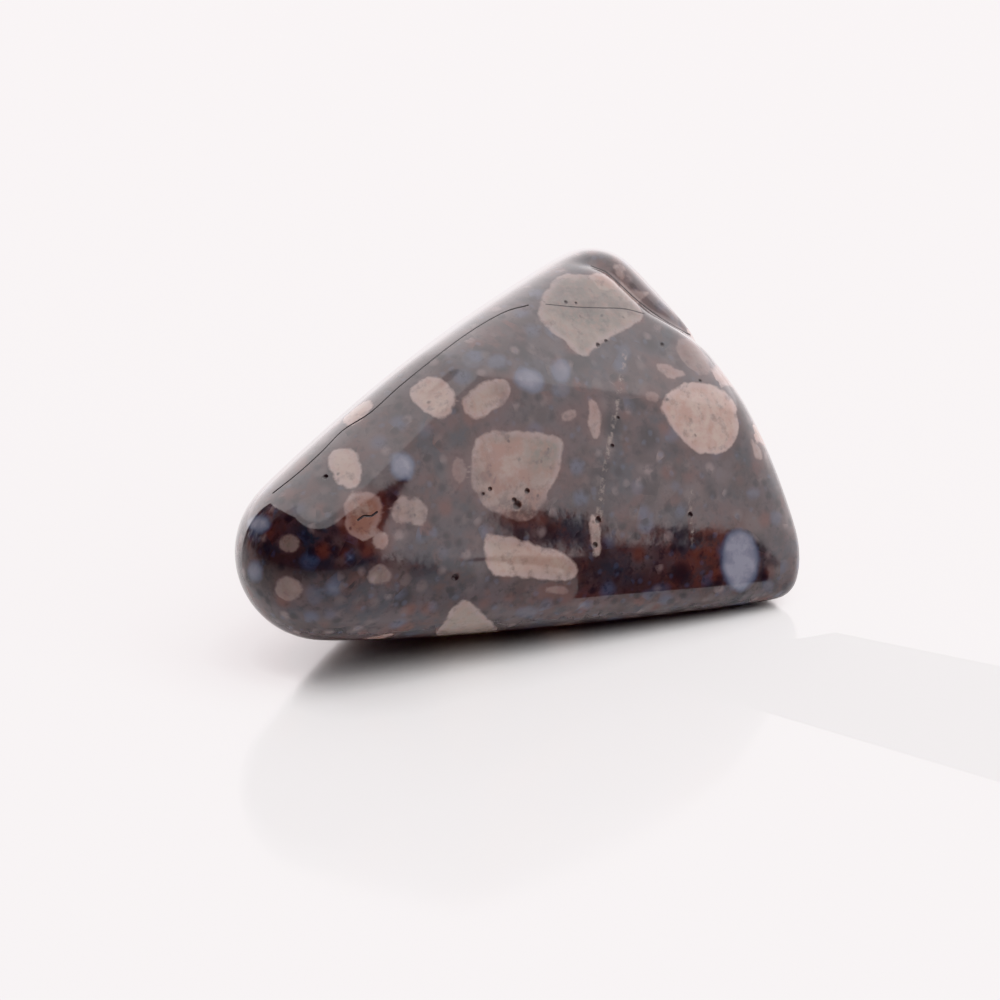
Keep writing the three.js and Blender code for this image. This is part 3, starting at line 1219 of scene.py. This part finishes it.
@dataclass(frozen=True)
class PolishedRhyolite:
    """The polished rock: a dark mottled ground with feldspars, quartz eyes, veins, and cracks and pits
    darkened with painted shade.
    """

    brown: Colour = (0.076, 0.058, 0.059)
    mauve: Colour = (0.104, 0.082, 0.088)
    pale: Colour = (0.165, 0.130, 0.130)
    dark: Colour = (0.030, 0.028, 0.033)
    red: Colour = (0.150, 0.073, 0.064)
    slate: Colour = (0.050, 0.060, 0.075)
    cream: Colour = (0.52, 0.415, 0.365)
    peach: Colour = (0.42, 0.25, 0.205)
    green: Colour = (0.23, 0.22, 0.19)
    rim: Colour = (0.47, 0.365, 0.36)
    quartz: Colour = (0.11, 0.13, 0.19)
    quartz_cloud: Colour = (0.36, 0.365, 0.44)
    vein: Colour = (0.30, 0.25, 0.23)
    # Painted shade: the near-black that the open cracks and the pits are darkened with, for the shade in
    # them.
    crack: Colour = (0.014, 0.009, 0.010)
    index: float = 1.54
    gloss: float = 0.06
    gloss_change: float = 0.035
    vein_dullness: float = 0.25
    sunk_dullness: float = 0.4
    ripple_grain: float = 1.4
    ripple_height: float = 0.004

    def build(self) -> bpy.types.Material:
        """Build the material.

        Returns:
            The finished material.
        """
        material = bpy.data.materials.new("polished rhyolite")
        material.use_nodes = True
        wiring = RockWiring(material.node_tree)
        ground = self.ground(wiring)
        halo = wiring.ramp(wiring.field("feldspar"), -0.75, -0.05, 0.0, 0.5)
        halo = wiring.times(halo, wiring.field("feldspar_pink"))
        ground = wiring.mix(halo, ground, solid(self.red))
        quartz_mask = wiring.inside("quartz", fray=0.4, grain=1.4, softness=0.19)
        rock = wiring.mix(quartz_mask, ground, self.quartz_colour(wiring, ground))
        feldspar_mask = wiring.inside("feldspar", fray=0.5, grain=1.3, softness=0.11)
        rock = wiring.mix(feldspar_mask, rock, self.feldspar_colour(wiring, ground))
        vein_mask = self.vein_mask(wiring)
        rock = wiring.mix(vein_mask, rock, solid(self.vein))
        groove_mask = wiring.ramp(wiring.field("groove"), 0.5, 1.0, 0.0, 0.4)
        rock = wiring.mix(groove_mask, rock, solid(self.red))
        # Painted shade: the open cracks and the pits are darkened to near-black for the shade that falls in
        # them; the same mask also dulls the polish there.
        crack_shade_mask = wiring.ramp(wiring.field("crack"), 0.0, 0.03, 1.0, 0.0)
        pit_shade_mask = wiring.ramp(wiring.field("pit"), 0.0, 0.6, 0.0, 0.85)
        sunk_shade_mask = wiring.larger(crack_shade_mask, pit_shade_mask)
        rock = wiring.mix(sunk_shade_mask, rock, solid(self.crack))
        shader = wiring.node("ShaderNodeBsdfPrincipled")
        shader.inputs["IOR"].default_value = self.index
        wiring.feed(shader.inputs["Base Color"], rock)
        wiring.feed(shader.inputs["Roughness"], self.roughness(wiring, vein_mask, sunk_shade_mask))
        wiring.feed(shader.inputs["Normal"], self.fine_relief(wiring))
        output = wiring.node("ShaderNodeOutputMaterial")
        wiring.feed(output.inputs["Surface"], shader.outputs[0])
        return material

    def ground(self, wiring: RockWiring) -> Socket:
        """Wire the fine dark ground between the crystals.

        Args:
            wiring: the material's wiring.

        Returns:
            The ground's colour.
        """
        colour = wiring.mix(wiring.patches(0.45, 0.40, 0.60), solid(self.brown), solid(self.mauve))
        reddish = wiring.times(wiring.patches(0.36, 0.50, 0.66), 0.5)
        rust = wiring.times(wiring.field("rust"), wiring.patches(1.1, 0.34, 0.6))
        colour = wiring.mix(wiring.larger(reddish, rust), colour, solid(self.red))
        bluish = wiring.times(wiring.patches(0.4, 0.50, 0.66), 0.7)
        slate = wiring.times(wiring.field("slate"), wiring.patches(1.1, 0.36, 0.6))
        colour = wiring.mix(wiring.larger(bluish, slate), colour, solid(self.slate))
        # Each layer of grains: cells to a millimetre, radius, share of cells, colour and strength
        layers = (
            (0.50, 0.62, 0.34, self.pale, 0.5),
            (0.55, 0.60, 0.30, self.dark, 0.8),
            (0.75, 0.58, 0.22, self.quartz, 0.65),
            (0.8, 0.58, 0.22, self.red, 0.8),
            (1.0, 0.56, 0.22, self.pale, 0.6),
            (1.2, 0.54, 0.12, self.rim, 0.3),
            (1.3, 0.56, 0.26, self.dark, 0.75),
            (1.9, 0.52, 0.16, self.quartz, 0.4),
        )
        for grain, radius, share, tint, strength in layers:
            mask = wiring.times(wiring.grains(grain, radius, share), strength)
            colour = wiring.mix(mask, colour, solid(tint))
        grit = wiring.times(wiring.patches(1.7, 0.5, 0.7), 0.5)
        return wiring.mix(grit, colour, solid(self.dark))

    def quartz_colour(self, wiring: RockWiring, ground: Socket) -> Socket:
        """Wire the blue quartz: cloudy, and dimmer where it lies under the skin.

        Args:
            wiring: the material's wiring.
            ground: the rock's own colour.

        Returns:
            The quartz's colour.
        """
        light = wiring.field("quartz_light")
        milk = wiring.patches(0.9, 0.34, 0.7)
        inner = wiring.ramp(wiring.field("quartz"), -0.05, 0.5, 0.1, 1.0)
        milky = wiring.times(wiring.between(milk, 0.5, 0.45), inner)
        milky = wiring.times(milky, wiring.ramp(light, 0.4, 1.35, 0.35, 1.2))
        colour = wiring.mix(milky, solid(self.quartz), solid(self.quartz_cloud))
        return wiring.mix(wiring.ramp(light, 0.0, 1.1, 0.1, 1.0), ground, colour)

    def feldspar_colour(self, wiring: RockWiring, ground: Socket) -> Socket:
        """Wire the feldspars: cream to peach, grey-green where altered, with a paler rim.

        Args:
            wiring: the material's wiring.
            ground: the rock's own colour.

        Returns:
            The feldspar's colour.
        """
        blotch = wiring.patches(0.7, 0.40, 0.62)
        warmth = wiring.times(wiring.field("feldspar_pink"), wiring.between(blotch, 0.3, 1.3))
        colour = wiring.mix(warmth, solid(self.cream), solid(self.peach))
        patchy = wiring.patches(0.9, 0.3, 0.62)
        green = wiring.larger(wiring.field("feldspar_green"), wiring.field("altered"))
        altered = wiring.times(green, wiring.between(patchy, 0.55, 0.5))
        colour = wiring.mix(altered, colour, solid(self.green))
        edge = wiring.ramp(wiring.field("feldspar"), 0.1, 0.5, 0.5, 0.0)
        colour = wiring.mix(edge, colour, solid(self.rim))
        streak = wiring.times(wiring.patches(2.2, 0.42, 0.8), 0.55)
        colour = wiring.mix(streak, colour, solid(self.peach))
        gritty = wiring.times(wiring.patches(1.5, 0.5, 0.74), 0.5)
        colour = wiring.mix(gritty, colour, solid(self.mauve))
        worn = wiring.patches(1.2, 0.35, 0.6)
        dusk = wiring.times(wiring.field("dusky"), wiring.between(worn, 0.4, 0.6))
        colour = wiring.mix(wiring.times(dusk, 0.8), colour, solid(self.brown))
        specks = wiring.times(wiring.grains(2.0, 0.34, 0.06), 0.6)
        colour = wiring.mix(specks, colour, solid(self.dark))
        clear = wiring.ramp(wiring.field("feldspar_light"), 0.0, 1.0, 0.2, 1.0)
        return wiring.mix(clear, ground, colour)

    def vein_mask(self, wiring: RockWiring) -> Socket:
        """Wire the broken pale veins.

        Args:
            wiring: the material's wiring.

        Returns:
            A mask, 1 on a vein.
        """
        line = wiring.ramp(wiring.field("vein"), -0.15, 0.05, 1.0, 0.0)
        broken = wiring.patches(2.6, 0.44, 0.62)
        return wiring.times(wiring.times(line, broken), 0.8)

    def roughness(self, wiring: RockWiring, vein_mask: Socket, sunk_shade_mask: Socket) -> Socket:
        """Wire the polish, which is duller on the veins and in the cracks and pits.

        Args:
            wiring: the material's wiring.
            vein_mask: 1 on a vein.
            sunk_shade_mask: 1 in a crack or pit.

        Returns:
            The roughness.
        """
        on_veins = wiring.times(vein_mask, self.vein_dullness)
        dull = wiring.larger(on_veins, wiring.times(sunk_shade_mask, self.sunk_dullness))
        polish = wiring.between(wiring.patches(1.1, 0.35, 0.75), self.gloss, self.gloss_change)
        return wiring.math("ADD", polish, dull)

    def fine_relief(self, wiring: RockWiring) -> Socket:
        """Wire the slight unevenness of the polish.

        Args:
            wiring: the material's wiring.

        Returns:
            The normal that the shader reads.
        """
        noise = wiring.node("ShaderNodeTexNoise")
        noise.inputs["Scale"].default_value = self.ripple_grain
        noise.inputs["Detail"].default_value = 5.0
        wiring.feed(noise.inputs["Vector"], wiring.place)
        bump = wiring.node("ShaderNodeBump")
        bump.inputs["Strength"].default_value = 1.0
        bump.inputs["Distance"].default_value = self.ripple_height * MM
        wiring.feed(bump.inputs["Height"], noise.outputs["Fac"])
        return bump.outputs[0]


def mesh_object(name: str, points: np.ndarray, faces: np.ndarray, smooth: bool = False) -> bpy.types.Object:
    """Make a mesh object.

    Args:
        name: the object's name.
        points: its vertices in millimetres.
        faces: its faces, as rows of vertex numbers.
        smooth: whether its shading is smooth.

    Returns:
        The object, in the scene.
    """
    mesh = bpy.data.meshes.new(name)
    mesh.from_pydata((points * MM).tolist(), [], faces.tolist())
    if smooth:
        mesh.shade_smooth()
    made = bpy.data.objects.new(name, mesh)
    bpy.context.scene.collection.objects.link(made)
    return made


@dataclass
class Pebble:
    """The pebble itself: its fine skin and its finish."""

    name: str = "pebble"
    body: str = "root"
    node: str = "stone"
    slot: str = "polished_rhyolite"

    def build(self, view: FaceView) -> bpy.types.Object:
        """Build the pebble's mesh and its fields.

        Args:
            view: the front view that its features are placed in.

        Returns:
            The pebble.
        """
        skin = StoneSkin(STONE_HULL, view)
        markings = Markings(skin)
        pebble = mesh_object(self.name, skin.points(), skin.faces, smooth=True)
        for name, values in markings.fields.items():
            field = pebble.data.attributes.new(name, "FLOAT", "POINT")
            field.data.foreach_set("value", values.astype(np.float32))
        return pebble

    def dress(self, pebble: bpy.types.Object) -> None:
        """Give the pebble its finish and its place in the frame.

        Args:
            pebble: the built pebble.
        """
        pebble.data.materials.append(PolishedRhyolite().build())
        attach(pebble, self.body)
        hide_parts(self.node)


@dataclass(frozen=True)
class Card:
    """A curved card that stands round the stone and shows only in polish.

    Attributes:
        posts: for each post, its turn in degrees to the right of the camera, and its lower and upper
            edge in degrees above the ground.
        glow: how bright it shines, where 0 is a dark card.
    """

    posts: tuple[tuple[float, float, float], ...]
    glow: float = 0.0


CARDS = {
    "left dark card": Card((
        (-125.0, 0.0, 30.0), (-95.0, 0.0, 48.0), (-70.0, 0.0, 55.0), (24.0, 0.0, 51.0), (36.0, 0.0, 44.0),
        (45.0, 0.0, 34.0), (50.0, 0.0, 20.0), (52.0, 0.0, 9.0),
    )),
    "right dark card": Card((
        (57.5, 0.0, 10.0), (59.5, 0.0, 9.0), (60.0, 0.0, 2.0), (61.2, 0.0, 3.0), (62.0, 0.0, 6.0),
        (65.5, 0.0, 7.0),
    )),
    "bright right card": Card(((92.0, 38.0, 76.0), (110.0, 20.0, 76.0), (160.0, 0.0, 76.0)), 3.4),
    "bright back card": Card(((160.0, 0.0, 76.0), (265.0, 0.0, 60.0)), 3.4),
    "bright top card": Card(((-180.0, 60.0, 84.0), (180.0, 60.0, 84.0)), 3.4),
}


@dataclass
class Studio:
    """The pale floor, the soft light, the cards that the polish mirrors, and the camera.

    Attributes:
        view: where the camera stands.
        tent: how bright the white tent round the stone is.
        tent_in_polish: how bright the tent is where polish mirrors it.
        tent_tint: the tent's colour.
        floor_size: the floor's width in millimetres.
        floor_tone: the floor's colour.
        floor_roughness: how dull the floor is.
        floor_index: the floor's index of refraction, which sets how much it mirrors.
        card_distance: how far the cards stand from the stone, in millimetres.
        card_tone: the dark cards' colour.
        dark_strip: the corners of the dark strip that lies on the floor, in millimetres.
        strip_height: how high the dark strip lies over the floor, in millimetres.
        lamp_place: where the lamp hangs, in millimetres.
        lamp_size: the lamp's width in millimetres.
        lamp_power: the lamp's power in watts.
        sensor: the width of the camera's sensor in millimetres.
    """

    view: FaceView
    tent: float = 1.2
    tent_in_polish: float = 2.4
    tent_tint: Colour = (1.0, 0.94, 0.95)
    floor_size: float = 6000.0
    floor_tone: Colour = (0.85, 0.85, 0.85)
    floor_roughness: float = 0.11
    floor_index: float = 1.6
    card_distance: float = 900.0
    card_tone: Colour = (0.012, 0.010, 0.011)
    dark_strip: tuple[Pixel, ...] = ((4.0, -11.0), (18.0, -10.0), (718.0, -709.0), (596.0, -820.0))
    strip_height: float = 0.05
    lamp_place: Place = (350.0, -750.0, 1050.0)
    lamp_size: float = 1400.0
    lamp_power: float = 22.0
    sensor: float = 36.0

    def build(self) -> None:
        """Build the floor, the light, the cards and the camera."""
        self.light(self.floor())
        for name, card in CARDS.items():
            self.card(name, card)
        strip = np.array([(x, y, self.strip_height) for x, y in self.dark_strip])
        self.finish_card(mesh_object("dark floor strip", strip, np.array([[0, 1, 2, 3]])), 0.0)
        self.camera()

    def floor(self) -> bpy.types.Object:
        """Lay the glossy pale floor.

        Returns:
            The floor.
        """
        half = self.floor_size / 2
        points = np.array([(-half, -half, 0), (half, -half, 0), (half, half, 0), (-half, half, 0)])
        floor = mesh_object("floor", points, np.array([[0, 1, 2, 3]]))
        material = bpy.data.materials.new("glossy floor")
        material.use_nodes = True
        shader = material.node_tree.nodes["Principled BSDF"]
        shader.inputs["Base Color"].default_value = solid(self.floor_tone)
        shader.inputs["Roughness"].default_value = self.floor_roughness
        shader.inputs["IOR"].default_value = self.floor_index
        floor.data.materials.append(material)
        return floor

    def light(self, floor: bpy.types.Object) -> None:
        """Surround the stone with even white light, and hang a soft lamp over the floor.

        Args:
            floor: the floor, the only thing that the lamp lights.
        """
        world = bpy.data.worlds.new("tent")
        world.use_nodes = True
        wiring = Wiring(world.node_tree)
        background = wiring.node("ShaderNodeBackground")
        wiring.feed(background.inputs["Color"], solid(self.tent_tint))
        polish = wiring.node("ShaderNodeLightPath").outputs["Is Glossy Ray"]
        extra = wiring.math("MULTIPLY", polish, self.tent_in_polish - self.tent)
        wiring.feed(background.inputs["Strength"], wiring.math("ADD", extra, self.tent))
        wiring.feed(wiring.node("ShaderNodeOutputWorld").inputs["Surface"], background.outputs[0])
        scene = bpy.context.scene
        scene.world = world
        scene.view_settings.view_transform = "Khronos PBR Neutral"
        data = bpy.data.lights.new("floor lamp", "AREA")
        data.shape = "SQUARE"
        data.size = self.lamp_size * MM
        data.energy = self.lamp_power
        lamp = bpy.data.objects.new("floor lamp", data)
        lamp.location = Vector(self.lamp_place) * MM
        lamp.rotation_euler = lamp.location.to_track_quat("Z", "Y").to_euler()
        lamp.visible_glossy = False
        lit = bpy.data.collections.new("lit by the floor lamp")
        lit.objects.link(floor)
        lamp.light_linking.receiver_collection = lit
        scene.collection.objects.link(lamp)

    def finish_card(self, card: bpy.types.Object, glow: float, solid_card: bool = False) -> None:
        """Finish a card so that polish mirrors it.

        Args:
            card: the card.
            glow: how bright it shines.
            solid_card: whether it also keeps the soft light off.
        """
        material = bpy.data.materials.new(card.name)
        material.use_nodes = True
        shader = material.node_tree.nodes["Principled BSDF"]
        shader.inputs["Base Color"].default_value = solid(self.card_tone)
        shader.inputs["Roughness"].default_value = 1.0
        shader.inputs["Emission Color"].default_value = solid(self.tent_tint)
        shader.inputs["Emission Strength"].default_value = glow
        card.data.materials.append(material)
        card.visible_camera = False
        card.visible_diffuse = solid_card
        card.visible_shadow = solid_card

    def card(self, name: str, card: Card, steps: int = 48) -> None:
        """Stand a curved card round the stone.

        Args:
            name: the card's name.
            card: its shape and glow.
            steps: how many strips it has.
        """
        turns, lows, highs = np.array(card.posts).T
        even = np.linspace(turns[0], turns[-1], steps + 1)
        turn = np.radians(even + self.view.azimuth)
        ring = np.stack([np.sin(turn), -np.cos(turn), np.zeros_like(turn)], axis=1) * self.card_distance
        rows = []
        for rises in (lows, highs):
            height = np.tan(np.radians(np.interp(even, turns, rises))) * self.card_distance
            rows.append(ring + height[:, None] * np.array([0.0, 0.0, 1.0]))
        first = np.arange(steps)
        faces = np.stack([first, first + 1, first + steps + 2, first + steps + 1], axis=1)
        self.finish_card(mesh_object(name, np.vstack(rows), faces), card.glow, solid_card=card.glow == 0)

    def camera(self) -> None:
        """Set the camera at the front view."""
        right, up, back = self.view.axes()
        data = bpy.data.cameras.new("camera")
        data.sensor_width = self.sensor
        data.lens = self.sensor * self.view.distance / self.view.field
        data.clip_start, data.clip_end = 0.01, 20.0
        camera = bpy.data.objects.new("camera", data)
        turned = Matrix((right, up, back)).transposed().to_4x4()
        camera.matrix_world = Matrix.Translation(Vector(self.view.eye() * MM)) @ turned
        bpy.context.scene.collection.objects.link(camera)
        bpy.context.scene.camera = camera


def main() -> None:
    """Build the studio and the pebble, in order."""
    logging.basicConfig(level=logging.INFO, format="%(message)s")
    view = FaceView()
    Studio(view).build()
    LOG.info("studio built")
    maker = Pebble()
    pebble = maker.build(view)
    maker.dress(pebble)
    LOG.info("%s built with %d triangles", pebble.name, len(pebble.data.polygons))


if __name__ == "__main__":
    main()
